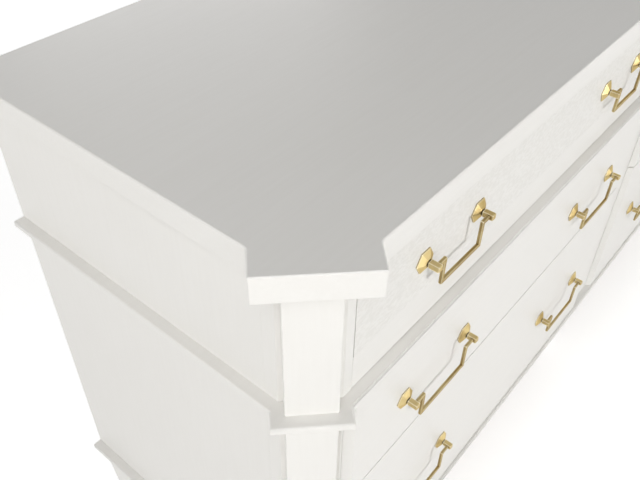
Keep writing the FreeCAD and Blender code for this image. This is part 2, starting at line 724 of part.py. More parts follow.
def make_pull_post(name, inward):
    """A square post on a short neck, bored on its inner side for the pin of the bail."""
    body = new_body(name)
    neck = new_sketch(body, f"{name}_neck", "XZ_Plane", "rosette_rise")
    outline(neck, square("(neck_size / 2)"))
    extrude(body, "Pad", f"{name}_neck_pad", neck, "neck_length")
    bar = new_sketch(body, f"{name}_bar", "XZ_Plane", "(rosette_rise + neck_length)")
    outline(bar, square("(post_size / 2)"))
    extrude(body, "Pad", f"{name}_bar_pad", bar, "(post_reach - rosette_rise - neck_length)")
    tip = -value("post_reach")
    dress(body, "Chamfer", f"{name}_end", lambda e: all(
        same(p.y, tip) for p in ends(e)), "post_chamfer")
    socket = new_sketch(body, f"{name}_socket_plan", "YZ_Plane", f"({inward} * post_size / 2)")
    circle(socket, "(-bail_plane)", "0", "(pin_radius + pin_clear)")
    extrude(body, "Pocket", f"{name}_socket", socket, "pin_length", back=inward < 0)
    return body


def make_pull_posts(name, x, face_y, z, reach, pull):
    """The rosettes and posts of both pulls on one drawer."""
    pieces = []
    for word, way in SIDES:
        for end, out in SIDES:
            at = f"{x} + {way} * {reach} + {out} * {pull} / 2"
            label = f"{name}_{word}_{end}"
            pieces.append(place(make_rosette(f"{label}_rosette"), at, face_y, z))
            pieces.append(place(make_pull_post(f"{label}_post", -out), at, face_y, z))
    return group(name, pieces)


def make_bail(name, x, face_y, z, pull, inset, drop):
    """A drop bail: a mitred square bar whose top ends turn out to round pins."""
    arm = f"({pull} / 2 - {inset})"
    end = f"({pull} / 2 - post_size / 2 - bail_play)"
    bar = "bail_bar / 2"
    half = [
        (f"(-{arm} - {bar})", f"(-{drop} - {bar})"),
        (f"(-{arm} - {bar})", f"(-{bar})"),
        (f"(-{end})", f"(-{bar})"),
        (f"(-{end})", f"({bar})"),
        (f"(-{arm} + {bar})", f"({bar})"),
        (f"(-{arm} + {bar})", f"(-{drop} + {bar})"),
    ]
    body = new_body(name)
    face = new_sketch(body, f"{name}_face", "XZ_Plane", "(-bail_bar / 2)")
    outline(face, half + reflected(half))
    extrude(body, "Pad", f"{name}_bar", face, "bail_bar")
    surface, tip = value("bail_bar / 2"), value(end)
    dress(body, "Chamfer", f"{name}_arris", lambda e: all(
        same(abs(p.y), surface) for p in ends(e)) and same(
        ends(e)[0].y, ends(e)[-1].y) and not all(
        same(abs(p.x), tip) for p in ends(e)), "bail_arris")
    for word, way in SIDES:
        pin = new_sketch(body, f"{name}_pin_{word}_plan", "YZ_Plane", f"({way} * {end})")
        circle(pin, "0", "0", "pin_radius")
        extrude(body, "Pad", f"{name}_pin_{word}", pin, "pin_length", back=way < 0)
    return place(body, x, f"{face_y} - bail_plane", z)


# Reach of the pulls, post spacing, arm inset and drop.
SMALL_PULL = ("frieze_reach", "small_pull", "small_inset", "small_drop")
LARGE_PULL = ("lower_reach", "large_pull", "large_inset", "large_drop")


def make_drawer(word, side, row, row_z, height, pins, ride, box_height):
    """All nodes of one drawer."""
    name = f"drawer_{row}_{word}"
    x = f"{side} * {OPENING_MIDDLE}"
    box_z = f"({ride} + runner_play)"
    pivot_z = f"({row_z} + {pins})"
    if row == "top":
        reach, pull, inset, drop = SMALL_PULL
        face_y = f"({CASE_FRONT} + inlay_recess - inlay_thick)"
        box_y = f"({CASE_FRONT} + inset_thick)"
        nodes.append(place(make_frieze_front(f"{name}_front"), x, CASE_FRONT, row_z))
        nodes.append(make_inlay(f"{name}_inlay", x, row_z))
    else:
        reach, pull, inset, drop = LARGE_PULL
        face_y = f"({CASE_FRONT} - front_proud)"
        box_y = f"({CASE_FRONT} - lay_gap)"
        nodes.append(place(make_lower_front(f"{name}_front", height), x, face_y, row_z))
    nodes.append(make_box(f"{name}_box", x, box_y, box_z, box_height))
    nodes.append(make_bottom(f"{name}_bottom", x, box_y, box_z))
    nodes.append(make_pull_posts(f"{name}_pull_posts", x, face_y, pivot_z, reach, pull))
    for end, way in SIDES:
        nodes.append(make_bail(f"{name}_bail_{end}", f"{x} + {way} * {reach}", face_y, pivot_z,
                               pull, inset, drop))


for word, side in SIDES:
    for row, row_z, height, pins, ride, box_height in ROWS:
        make_drawer(word, side, row, row_z, height, pins, ride, box_height)


# ---------------------------------------------------------------- check and write

doc.recompute()
for thing in doc.Objects:
    if "Invalid" in thing.State or "Error" in thing.State:
        raise RuntimeError(f"{thing.Label} failed: {thing.State}")
for node in nodes:
    if node.Shape.isNull() or not node.Shape.isValid() or not node.Shape.Solids:
        raise RuntimeError(f"{node.Label} has no valid solid")

os.makedirs("parts", exist_ok=True)
for node in nodes:
    node.Shape.exportStep(f"parts/{node.Label}.step")
print(len(nodes), "nodes,", sum(len(node.Shape.Solids) for node in nodes), "solids")
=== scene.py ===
# %% [markdown]
# # A white campaign chest with brass drop bails
#
# The chest comes in as a finished model: every board, front, box, post and bail is an object of
# its own that already moves with the right body. This script only dresses it. It mixes the
# finishes from nodes, rounds the arrises, adds the paint beads, the strips beside the pilasters
# and the screws, and sets up a plain studio. Everything is in metres: X runs right along the
# front, Y to the back and Z up.

# %% load the model
import json
import math

import bmesh
import bpy
from mathutils import Matrix, Vector

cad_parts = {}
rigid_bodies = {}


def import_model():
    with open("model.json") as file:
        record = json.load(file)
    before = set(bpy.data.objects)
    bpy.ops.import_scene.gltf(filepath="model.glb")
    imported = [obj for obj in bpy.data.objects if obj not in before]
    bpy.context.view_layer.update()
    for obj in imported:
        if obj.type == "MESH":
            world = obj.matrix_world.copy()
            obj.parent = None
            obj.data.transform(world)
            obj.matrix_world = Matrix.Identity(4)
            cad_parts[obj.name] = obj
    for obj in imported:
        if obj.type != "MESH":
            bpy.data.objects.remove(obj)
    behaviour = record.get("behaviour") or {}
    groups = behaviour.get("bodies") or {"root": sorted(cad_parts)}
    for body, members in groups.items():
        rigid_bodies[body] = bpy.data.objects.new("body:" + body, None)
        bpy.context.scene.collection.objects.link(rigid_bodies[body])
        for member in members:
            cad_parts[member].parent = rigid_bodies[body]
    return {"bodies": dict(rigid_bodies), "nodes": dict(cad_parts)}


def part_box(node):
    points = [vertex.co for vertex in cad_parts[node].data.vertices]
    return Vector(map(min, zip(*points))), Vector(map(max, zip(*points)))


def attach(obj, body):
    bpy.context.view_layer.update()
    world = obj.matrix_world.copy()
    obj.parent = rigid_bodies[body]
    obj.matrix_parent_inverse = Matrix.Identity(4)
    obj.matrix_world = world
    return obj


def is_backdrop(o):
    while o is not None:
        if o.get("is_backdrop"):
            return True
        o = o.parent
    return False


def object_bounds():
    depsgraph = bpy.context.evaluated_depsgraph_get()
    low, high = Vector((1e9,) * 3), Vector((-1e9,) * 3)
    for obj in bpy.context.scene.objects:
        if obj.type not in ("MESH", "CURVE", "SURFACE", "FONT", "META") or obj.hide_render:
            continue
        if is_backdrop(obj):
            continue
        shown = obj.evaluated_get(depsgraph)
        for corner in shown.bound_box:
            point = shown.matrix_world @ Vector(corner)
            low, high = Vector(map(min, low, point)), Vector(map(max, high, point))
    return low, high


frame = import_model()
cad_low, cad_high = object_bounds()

nodes = frame["nodes"]
size = cad_high - cad_low
print(f"{size.x:.3f} x {size.y:.3f} x {size.z:.3f} m")

# %% [markdown]
# ## A shorthand for node trees
#
# Nodes can be placed and wired one line at a time, but a finish has twenty of them, and the wiring
# then hides what it is for. `add` makes a node, joins the sockets it is given and sets the plain
# numbers, so one line reads like one thought. Three sums come up again and again, so they have
# names too. `spread` starts from 0.3..0.7, because that is about what a noise gives.

# %% nodes in one line
class Nodes:
    """A node tree with a short way to add and join nodes."""

    def __init__(self, tree):
        self.tree = tree

    def add(self, kind, inputs=None, **settings):
        node = self.tree.nodes.new("ShaderNode" + kind)
        for name, setting in settings.items():
            setattr(node, name, setting)
        for key, value in (inputs or {}).items():
            if isinstance(value, bpy.types.NodeSocket):
                self.tree.links.new(value, node.inputs[key])
            else:
                node.inputs[key].default_value = value
        return node.outputs

    def math(self, operation, first, second=0.0, third=0.0):
        return self.add("Math", {0: first, 1: second, 2: third}, operation=operation)["Value"]

    def blend(self, first, share, second):
        """The share of the first value, and the rest of the second."""
        rest = self.math("MULTIPLY", second, round(1.0 - share, 6))
        return self.math("MULTIPLY_ADD", first, share, rest)

    def spread(self, value, low, high, from_low=0.3, from_high=0.7):
        """The value's own range drawn out to low..high."""
        return self.add("MapRange", {"Value": value, "From Min": from_low, "From Max": from_high,
                                     "To Min": low, "To Max": high})["Result"]


print("node shorthand ready")

# %% [markdown]
# ## A shorthand for finishes
#
# A finish is a Principled shader fed by a few textures. All of them read Object coordinates. The
# model's objects sit at the origin, so one unit is one metre, and the pattern stays on its board
# when a drawer slides out. An image would need the boards unwrapped, and a noise doesn't. The
# scale of a noise is in blobs per metre, so 200 gives blobs of about 5 mm.

# %% the Finish helper
class Finish(Nodes):
    """One material: its Principled shader and the textures that feed it."""

    def __init__(self, name, **constants):
        self.material = bpy.data.materials.new(name)
        self.material.use_nodes = True
        super().__init__(self.material.node_tree)
        self.shader = self.tree.nodes["Principled BSDF"]
        for socket, number in constants.items():
            self.shader.inputs[socket.replace("_", " ")].default_value = number
        self.coordinates = self.add("TexCoord")["Object"]

    def stretched(self, x, y, z):
        """Coordinates scaled per axis: a small number draws the pattern out along that axis."""
        return self.add("Mapping", {"Vector": self.coordinates, "Scale": (x, y, z)})["Vector"]

    def noise(self, scale, vector=None, detail=3.0, roughness=0.5, distortion=0.0):
        """A noise with so many blobs to the metre, each level of detail half as large."""
        return self.add("TexNoise", {"Vector": vector or self.coordinates, "Scale": scale,
                                     "Detail": detail, "Roughness": roughness,
                                     "Distortion": distortion})["Fac"]

    def ramp(self, value, *stops):
        """Colours along a value, as pairs of place and colour."""
        outputs = self.add("ValToRGB", {"Fac": value})
        ramp = outputs["Color"].node.color_ramp
        while len(ramp.elements) < len(stops):
            ramp.elements.new(0.5)
        for element, (place, colour) in zip(ramp.elements, stops):
            element.position = place
            element.color = (*colour, 1.0)
        return outputs["Color"]

    def relief(self, height, distance, normal=None):
        """Bump of a real height in metres, on top of another bump if one is given."""
        inputs = {"Height": height, "Distance": distance}
        if normal is not None:
            inputs["Normal"] = normal
        return self.add("Bump", inputs)["Normal"]

    def join(self, colour, roughness, normal):
        for socket, value in (("Base Color", colour), ("Roughness", roughness), ("Normal", normal)):
            self.tree.links.new(value, self.shader.inputs[socket])
        return self.material


print("finish helper ready")

# %% [markdown]
# ## The way of the grain
#
# Painted or bare, a board shows its grain as long hair lines. One noise can give them on any
# board: its coordinates are squeezed along the board, so its blobs are drawn out into lines.

# %% along a board
def along(axis, squeeze=0.045):
    """The scales that draw a pattern out along X, Y or Z."""
    return tuple(squeeze if name == axis else 1.0 for name in "XYZ")


print("along X:", along("X"))

# %% [markdown]
# ## Lacquer
#
# Sprayed lacquer isn't quite flat. It has a faint drift in tone over a hand's width, hair lines
# where the grain of the board shows through, orange peel about a millimetre across, and a sheen
# that changes a little with the thickness of the coat. A single colour with one roughness would
# look like plastic, so four noises at four scales share the work. The grain runs along the board,
# so there is one lacquer for boards that lie along the front and one for those that stand.

# %% lacquers
WHITE_PALE, WHITE_DEEP = (0.845, 0.832, 0.802), (0.815, 0.800, 0.766)
LACQUER_ROUGH = (0.35, 0.46)                  # where the coat is thin and where it is thick
PEEL, GRAIN, PORES = 0.00004, 0.00005, 0.00002     # their heights


def lacquer(name, axis):
    finish = Finish(name)
    grain_way = finish.stretched(*along(axis))
    drift = finish.noise(2.2, detail=4.0, roughness=0.55)
    grain = finish.noise(230.0, grain_way, detail=5.0, roughness=0.62, distortion=0.4)
    pores = finish.noise(900.0, grain_way, detail=2.0)
    peel = finish.noise(620.0, detail=2.0, roughness=0.4)
    tone = finish.blend(grain, 0.35, drift)
    colour = finish.ramp(tone, (0.36, WHITE_DEEP), (0.62, WHITE_PALE))
    coat = finish.math("ADD", drift, finish.math("MULTIPLY", peel, 0.5))
    rough = finish.spread(coat, *LACQUER_ROUGH, 0.5, 1.0)
    normal = finish.relief(peel, PEEL)
    normal = finish.relief(grain, GRAIN, normal)
    normal = finish.relief(pores, PORES, normal)
    return finish.join(colour, rough, normal)


white = {axis: lacquer(f"white_lacquer_{axis.lower()}", axis) for axis in "XZ"}
print("lacquers:", [material.name for material in white.values()])

# %% [markdown]
# ## The textured panels
#
# The panels in the top drawers are covered in a coarse woven cloth and painted over. What is left
# of the weave is a field of short, low, wavy ridges, 5 to 8 mm long, with paint pooled between
# them. They differ from the paint beside them mostly in sheen, so they show close by and fade
# further off. Crossed wave textures would give a new, even weave. Here a noise is bent by a slower
# noise first, and then drawn out sideways, which gives threads that wander and break under the
# paint.

# %% woven panels
CLOTH_DEEP, CLOTH_PALE = (0.796, 0.783, 0.750), (0.838, 0.825, 0.795)
CLOTH_BEND = 0.010                            # how far the slow noise pushes the threads
STRANDS, FIBRES = 0.00016, 0.00006            # their heights


def woven(name):
    finish = Finish(name)
    wander = finish.add("TexNoise", {"Vector": finish.coordinates, "Scale": 70.0, "Detail": 2.0})
    pushed = finish.add("VectorMath", {0: wander["Color"], 1: (0.5, 0.5, 0.5)},
                        operation="SUBTRACT")["Vector"]
    pushed = finish.add("VectorMath", {0: pushed, "Scale": CLOTH_BEND}, operation="SCALE")["Vector"]
    bent = finish.add("VectorMath", {0: finish.coordinates, 1: pushed}, operation="ADD")["Vector"]
    drawn = finish.add("Mapping", {"Vector": bent, "Scale": along("X", 0.5)})["Vector"]
    ridges = finish.noise(300.0, drawn, detail=2.0, roughness=0.45)
    strands = finish.spread(ridges, 0.0, 1.0, 0.40, 0.62)
    fibre = finish.noise(1500.0, finish.stretched(*along("X", 0.2)), detail=2.0)
    drift = finish.noise(9.0, detail=3.0)
    tone = finish.blend(strands, 0.6, drift)
    colour = finish.ramp(tone, (0.15, CLOTH_DEEP), (0.85, CLOTH_PALE))
    rough = finish.spread(strands, 0.58, 0.42, 0.0, 1.0)
    normal = finish.relief(strands, STRANDS)
    normal = finish.relief(fibre, FIBRES, normal)
    return finish.join(colour, rough, normal)


cloth = woven("grasscloth")
print("panels:", cloth.name)

# %% [markdown]
# ## Brass
#
# Satin brass with very fine rubbing lines, slightly browner and duller where the finish has aged,
# so its roughness and its colour drift together. The arrises get a pale painted highlight, and the
# corners round the neck and under the bail a dark painted shade. That could be painted on by hand,
# but two occlusion nodes find both: one looks out for corners, the other looks inside for arrises.
# The bails get a darker copy of the same finish, which is painted shade for the darker room that
# their bars reflect.

# %% brass
TINT = (0.85, 0.73, 0.50, 1.0)                # keeps grazing reflections warm
# A pale painted highlight for the arrises, and a dark painted shade for the corners.
PAINTED_ARRIS_HIGHLIGHT, PAINTED_CORNER_SHADE = (0.960, 0.900, 0.700, 1.0), (0.080, 0.050, 0.014, 1.0)
ARRIS_REACH, CORNER_REACH = 0.0014, 0.003     # how far the two occlusion nodes look
RUBBING, DIMPLES = 0.000008, 0.000015         # their heights


def satin_brass(name, deep, pale):
    finish = Finish(name, Metallic=1.0, Specular_Tint=TINT)
    age = finish.noise(34.0, detail=3.0, roughness=0.5)
    rubbed = finish.noise(1400.0, finish.stretched(*along("X", 0.12)), detail=2.0)
    dimples = finish.noise(420.0, detail=2.0)
    colour = finish.ramp(age, (0.34, deep), (0.60, pale))
    crevice = finish.add("AmbientOcclusion", {"Distance": CORNER_REACH}, samples=8)["AO"]
    arris = finish.add("AmbientOcclusion", {"Distance": ARRIS_REACH}, samples=8, inside=True)["AO"]
    # Darker in the corners round the neck and under the bail: painted shade.
    corner_shade = finish.spread(crevice, 1.0, 0.0, 0.35, 0.80)
    # Paler on the arrises: a painted highlight.
    arris_highlight = finish.spread(arris, 1.0, 0.0, 0.45, 0.95)
    # The painted highlight is mixed into the colour first, and the painted shade over it.
    for share, shade in ((arris_highlight, PAINTED_ARRIS_HIGHLIGHT), (corner_shade, PAINTED_CORNER_SHADE)):
        colour = finish.add("MixRGB", {"Fac": share, "Color1": colour, "Color2": shade})["Color"]
    rough = finish.spread(finish.blend(rubbed, 0.4, age), 0.33, 0.44)
    normal = finish.relief(rubbed, RUBBING)
    normal = finish.relief(dimples, DIMPLES, normal)
    return finish.join(colour, rough, normal)


brass = satin_brass("brass", (0.430, 0.315, 0.130), (0.610, 0.490, 0.245))
# The bails' brass is a darker copy of the same finish: painted shade for the darker room their bars
# reflect.
shaded_grip_brass = satin_brass("brass_grip", (0.300, 0.215, 0.085), (0.430, 0.335, 0.155))
print("metals:", brass.name, shaded_grip_brass.name)

# %% [markdown]
# ## Bare wood
#
# The drawer boxes are sealed poplar. Growth rings give broad bands along the board, vessels give
# fine dark dashes, and both follow the grain. A wave texture would make the bands too regular, so
# they are a noise with some distortion, drawn out along the board.

# %% poplar
POPLAR_DARK, POPLAR_MID = (0.430, 0.285, 0.150), (0.600, 0.440, 0.265)
POPLAR_PALE = (0.690, 0.545, 0.365)


def poplar(name, axis):
    finish = Finish(name)
    bands = finish.noise(26.0, finish.stretched(*along(axis, 0.08)), detail=3.0, distortion=0.9)
    fine = finish.noise(420.0, finish.stretched(*along(axis, 0.03)), detail=3.0, roughness=0.6)
    figure = finish.blend(fine, 0.38, bands)
    colour = finish.ramp(figure, (0.32, POPLAR_DARK), (0.50, POPLAR_MID), (0.68, POPLAR_PALE))
    rough = finish.spread(figure, 0.55, 0.40)
    return finish.join(colour, rough, finish.relief(fine, 0.00008))


wood = {axis: poplar(f"poplar_{axis.lower()}", axis) for axis in "XY"}
print("woods:", [material.name for material in wood.values()])

# %% [markdown]
# ## Back board and glides
#
# The back is hardboard, a felt of short fibres with no grain, painted thinly. The glides are dull
# black nylon with a moulded speckle. Both are out of sight most of the time, so one fine noise
# gives each its surface and its tone, and the back gets a slow one for its blotches.

# %% back board and glides
def hardboard(name):
    finish = Finish(name)
    fibres = finish.noise(310.0, detail=5.0, roughness=0.7, distortion=0.8)
    tone = finish.blend(fibres, 0.5, finish.noise(4.0, detail=3.0))
    colour = finish.ramp(tone, (0.38, (0.600, 0.575, 0.525)), (0.62, (0.700, 0.680, 0.635)))
    rough = finish.spread(fibres, 0.60, 0.75)
    return finish.join(colour, rough, finish.relief(fibres, 0.00010))


def nylon(name):
    finish = Finish(name)
    specks = finish.noise(900.0, detail=3.0)
    colour = finish.ramp(specks, (0.40, (0.020, 0.018, 0.017)), (0.65, (0.050, 0.046, 0.042)))
    rough = finish.spread(specks, 0.42, 0.60)
    return finish.join(colour, rough, finish.relief(specks, 0.00004))


board_back = hardboard("back_board")
glide = nylon("glide_nylon")
print("hidden finishes:", board_back.name, glide.name)

# %% [markdown]
# ## Which finish goes where
#
# The model's objects keep their shapes and get a finish in their material slots. The names say
# what each one is, so a few rules on names do for all of them, and a drawer made later in the same
# way would be dressed as well.

# %% finish of a node
UPRIGHT = ("side_panel", "corner_post", "pilaster", "centre_stile", "foot", "feet")


def finish_of(name):
    """The finish of a node, with the grain along its board."""
    if name.endswith(("_bail_left", "_bail_right")):
        return shaded_grip_brass
    if name.endswith("_pull_posts"):
        return brass
    if name.endswith("_inlay"):
        return cloth
    if name.endswith("_box") or name in ("drawer_runners", "centre_partition"):
        return wood["Y"]
    if name.endswith("_bottom") or name == "bottom_board":
        return wood["X"]
    if name == "back_panel":
        return board_back
    if name == "floor_glides":
        return glide
    return white["Z"] if any(word in name for word in UPRIGHT) else white["X"]


for name, node in nodes.items():
    node.data.materials.clear()
    node.data.materials.append(finish_of(name))
print("dressed", len(nodes), "nodes")

# %% [markdown]
# ## Arrises
#
# Lacquered and brass edges are never razor sharp: paint rounds them, and so does rubbing. The
# rounding is well under a millimetre, so it isn't worth modelling, and a bevel modifier does it.
# The imported faces are triangles that don't share corners, so a weld and a planar decimate come
# before the bevel and make them whole again.

# %% rounded arrises
SAME_POINT = 0.000002                 # corners nearer than this are one corner
FLAT = math.radians(0.5)              # faces that turn by less are one face
SHARP = math.radians(30)              # edges that turn by more are arrises
ARRIS = {"brass": 0.00018, "white": 0.0006, "poplar": 0.0008}
# The posts and the side panels meet in a filled and painted joint, so the posts are rounded less
# there, and the panels not at all.
FLUSH = {"side_panel_left": 0, "side_panel_right": 0,
         "corner_post_left": 0.00025, "corner_post_right": 0.00025}


def soften(target, width):
    """Rounds the arrises with modifiers, and leaves the mesh as it is."""
    weld = target.modifiers.new("weld", "WELD")
    weld.merge_threshold = SAME_POINT
    whole = target.modifiers.new("whole", "DECIMATE")
    whole.decimate_type = "DISSOLVE"
    whole.angle_limit = FLAT
    bevel = target.modifiers.new("arris", "BEVEL")
    bevel.width = width
    bevel.segments = 2
    bevel.limit_method = "ANGLE"
    bevel.angle_limit = SHARP
    bevel.harden_normals = True
    bevel.use_clamp_overlap = True


softened = 0
for name, node in nodes.items():
    family = finish_of(name).name.split("_")[0]
    width = FLUSH.get(name, ARRIS.get(family))
    if width:
        soften(node, width)
        softened += 1
print("softened", softened, "nodes")

# %% [markdown]
# ## Lengths of trim
#
# Two small things are the painter's, and not the joiner's: a bead of paint, and a coved strip of
# filler. Both are one outline pulled straight along an edge. A curve with a bevel object could do
# it, but an extruded face is closed at both ends at once, and its corners stay where they are put.

# %% one outline, pulled
def extruded(name, section, way, material):
    """A closed outline pulled along a vector."""
    shape = bmesh.new()
    base = shape.faces.new([shape.verts.new(point) for point in section])
    pulled = bmesh.ops.extrude_face_region(shape, geom=[base])["geom"]
    far_end = [item for item in pulled if isinstance(item, bmesh.types.BMVert)]
    bmesh.ops.translate(shape, vec=way, verts=far_end)
    bmesh.ops.recalc_face_normals(shape, faces=shape.faces[:])
    mesh = bpy.data.meshes.new(name)
    shape.to_mesh(mesh)
    shape.free()
    mesh.materials.append(material)
    piece = bpy.data.objects.new(name, mesh)
    bpy.context.scene.collection.objects.link(piece)
    return piece


print("trim helper ready")

# %% [markdown]
# ## Paint beads
#
# The fine notch along the two long edges of each textured panel has filled with paint. Left open
# it would draw a black line, so a three-sided bead lies in it, a hair below the drawer's face.

# %% beads
# The corners of a bead: how far in from the drawer's face, and how far off the panel's edge.
FILL = [(0.00003, 0.0011), (0.00027, -0.0007), (0.0010, -0.0004)]
for word in ("left", "right"):
    drawer = f"drawer_top_{word}"
    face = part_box(f"{drawer}_front")[0].y
    low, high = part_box(f"{drawer}_inlay")
    for edge, z, way in (("upper", high.z, 1), ("lower", low.z, -1)):
        section = [Vector((low.x, face + deep, z + way * off)) for deep, off in FILL]
        bead = extruded(f"{drawer}_{edge}_bead", section, Vector((high.x - low.x, 0, 0)),
                        white["X"])
        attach(bead, drawer)

# %% [markdown]
# ## Strips beside the lower pilasters
#
# The groove between a lower pilaster and the case has a coved strip of filler in it, so it is a
# soft grey shade and not a black line. Its outline is given across the cant, and turned onto it
# with two unit vectors: one runs across the canted face and the other out of it.

# %% strips
CANT = 0.044                          # leg of the canted corner
GROOVE = (0.02602, 0.0311)            # from the middle of the cant to both sides of the groove
# The outline of a strip: a share of the groove's width, and how far out of the cant.
COVE = [(0.0, -0.0068), (1.0, -0.0068), (1.0, -0.0001), (0.66, -0.0007), (0.33, -0.0018),
        (0.0, -0.0034)]
for word, side in (("left", -1), ("right", 1)):
    post_low, post_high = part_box(f"corner_post_{word}")
    outer = post_low.x if side < 0 else post_high.x
    middle = Vector((outer - side * CANT / 2, post_low.y + CANT / 2, 0))
    across = Vector((-side, -1, 0)).normalized()
    out = Vector((side, -1, 0)).normalized()
    low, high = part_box(f"lower_pilaster_{word}")
    section = [middle + across * (GROOVE[0] + share * (GROOVE[1] - GROOVE[0])) + out * rise
               + Vector((0, 0, low.z)) for share, rise in COVE]
    strip = extruded(f"groove_strip_{word}", section, Vector((0, 0, high.z - low.z)),
                     white["Z"])
    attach(strip, "case")

# %% [markdown]
# ## Screws
#
# Each post is held by a machine screw from inside the drawer, and the back panel by flat screws
# along its edges. A head is made from one disc: it is pulled up for the rim, set in twice
# for the domed crown, and once more for the mouth of the recess. Pulling three out of four points
# of that mouth towards the middle makes a cross, and the cross is sunk into the head. A boolean
# would cut the same cross, but leaves long thin faces on the crown.

# %% a screw head
# The crown, ring by ring: set in and up, as shares of the radius and the height.
CROWN = [(0.14, 0.40), (0.26, 0.25), (0.08, 0.0)]
RIM = 0.35                            # straight rim, as a share of the height
CROSS_WAIST = 0.33                    # narrow part of the cross, as a share of its arm
CROSS_DEPTH, CROSS_FLOOR = 0.75, 0.75     # shares of the height, and of the mouth's width


def screw_head(radius, height, sides=16):
    """A head on the XY plane, with its axis along Z, as a bmesh."""
    shape = bmesh.new()
    bmesh.ops.create_circle(shape, cap_ends=True, segments=sides, radius=radius)
    top = shape.faces[:][0]
    pulled = bmesh.ops.extrude_face_region(shape, geom=[top])["geom"]
    top = next(item for item in pulled if isinstance(item, bmesh.types.BMFace))
    bmesh.ops.translate(shape, vec=(0, 0, RIM * height), verts=top.verts[:])
    bmesh.ops.recalc_face_normals(shape, faces=shape.faces[:])
    for inward, upward in CROWN:
        bmesh.ops.inset_region(shape, faces=[top], thickness=inward * radius, depth=upward * height)
    waist = [vert for i, vert in enumerate(top.verts) if i % 4]
    bmesh.ops.scale(shape, vec=(CROSS_WAIST, CROSS_WAIST, 1), verts=waist)
    sunk = bmesh.ops.extrude_face_region(shape, geom=[top])["geom"]
    bmesh.ops.delete(shape, geom=[top], context="FACES_ONLY")
    floor_verts = [item for item in sunk if isinstance(item, bmesh.types.BMVert)]
    bmesh.ops.translate(shape, vec=(0, 0, -CROSS_DEPTH * height), verts=floor_verts)
    bmesh.ops.scale(shape, vec=(CROSS_FLOOR, CROSS_FLOOR, 1), verts=floor_verts)
    bmesh.ops.recalc_face_normals(shape, faces=shape.faces[:])
    return shape


sample = screw_head(1.0, 1.0)
print("a screw head has", len(sample.faces), "faces")
sample.free()

# %% [markdown]
# ## A row of heads
#
# The heads on one board are a single piece, because they never move apart. Each is turned to look
# out of its board and put in its place, and then all are gathered in one mesh.

# %% heads in a row
def screw_heads(name, places, outward, radius, height):
    """Copies of one head at the given places, as one piece that looks along outward."""
    turn = Vector((0, 0, 1)).rotation_difference(Vector(outward)).to_matrix().to_4x4()
    mesh = bpy.data.meshes.new(name)
    whole = bmesh.new()
    for place in places:
        head = screw_head(radius, height)
        bmesh.ops.transform(head, matrix=Matrix.Translation(place) @ turn, verts=head.verts[:])
        head.to_mesh(mesh)
        whole.from_mesh(mesh)
        head.free()
    whole.to_mesh(mesh)
    whole.free()
    mesh.materials.append(brass)
    screws = bpy.data.objects.new(name, mesh)
    bpy.context.scene.collection.objects.link(screws)
    return screws


print("rows ready")

# %% [markdown]
# ## Screws behind the posts
#
# The ends of a bail show where its two posts are, so the screws take their places from the boxes
# of the bails, on the inner face of the drawer box. They then follow if a pull is moved.

# %% screws behind the posts
BOX_FRONT = 0.012     # thickness of a box front
BAR_HALF = 0.002      # half the thickness of a bail's bar, whose top ends lie round its pins
PIN_SHORT = 0.0008    # end of a pin to the middle of its post
POST_HEAD = (0.0045, 0.0024)          # radius and height
for body in frame["bodies"]:
    if body == "case" or "_bail_" in body:
        continue
    inner_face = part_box(f"{body}_box")[0].y + BOX_FRONT
    places = []
    for end in ("left", "right"):
        low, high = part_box(f"{body}_bail_{end}")
        for x in (low.x - PIN_SHORT, high.x + PIN_SHORT):
            places.append((x, inner_face, high.z - BAR_HALF))
    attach(screw_heads(f"{body}_screws", places, (0, 1, 0), *POST_HEAD), body)

# %% [markdown]
# ## Screws in the back panel
#
# They sit close to the panel's two sides, down its middle over the partition, and along the
# bottom board. Their heads are countersunk, so they hardly stand out.

# %% screws in the back panel
MARGIN = 0.005                        # screw to the edge of the panel
ROWS = (0.10, 0.30, 0.50, 0.70, 0.90)     # heights, as shares of the panel's
ALONG_BOTTOM = 8
PANEL_HEAD = (0.0036, 0.0003)         # radius and height
panel_low, panel_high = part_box("back_panel")
places = []
for share in ROWS:
    z = panel_low.z + share * (panel_high.z - panel_low.z)
    for x in (panel_low.x + MARGIN, 0.0, panel_high.x - MARGIN):
        places.append((x, panel_high.y, z))
for i in range(ALONG_BOTTOM):
    x = panel_low.x + (i + 0.5) / ALONG_BOTTOM * (panel_high.x - panel_low.x)
    places.append((x, panel_high.y, panel_low.z + MARGIN))
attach(screw_heads("back_panel_screws", places, (0, 1, 0), *PANEL_HEAD), "case")
print("back panel screws:", len(places))

# %% [markdown]
# ## What the camera and the brass see
#
# The studio is white where it is looked at and where it is mirrored, and much softer where it
# lights the chest. One number tells the two apart: it is 1 for a ray from the camera, from a
# reflection or through glass, and 0 for diffuse light. Turning the lamps up until the background
# is white would burn out the white paint, and this leaves the paint alone.

# %% seen or mirrored
def seen_or_mirrored(studio):
    """1 for a ray from the camera, from a reflection or through glass, and 0 for diffuse light."""
    path = studio.add("LightPath")
    either = studio.math("MAXIMUM", path["Is Camera Ray"], path["Is Glossy Ray"])
    return studio.math("MAXIMUM", either, path["Is Transmission Ray"])


print("ray test ready")

# %% [markdown]
# ## Floor
#
# A wide pale disc, so it has no corner in any view. A square would do, but its far corner can
# show as a peak on the horizon.

# %% floor
FLOOR_RADIUS, FLOOR_DROP = 30.0, 0.0003       # the drop keeps the glides clear of it
floor_mesh = bpy.data.meshes.new("floor")
shape = bmesh.new()
bmesh.ops.create_circle(shape, cap_ends=True, radius=FLOOR_RADIUS, segments=96)
shape.to_mesh(floor_mesh)
shape.free()
floor = bpy.data.objects.new("floor", floor_mesh)
floor.location.z = -FLOOR_DROP
bpy.context.scene.collection.objects.link(floor)
floor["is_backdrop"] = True
print("floor:", len(floor_mesh.polygons), "face")

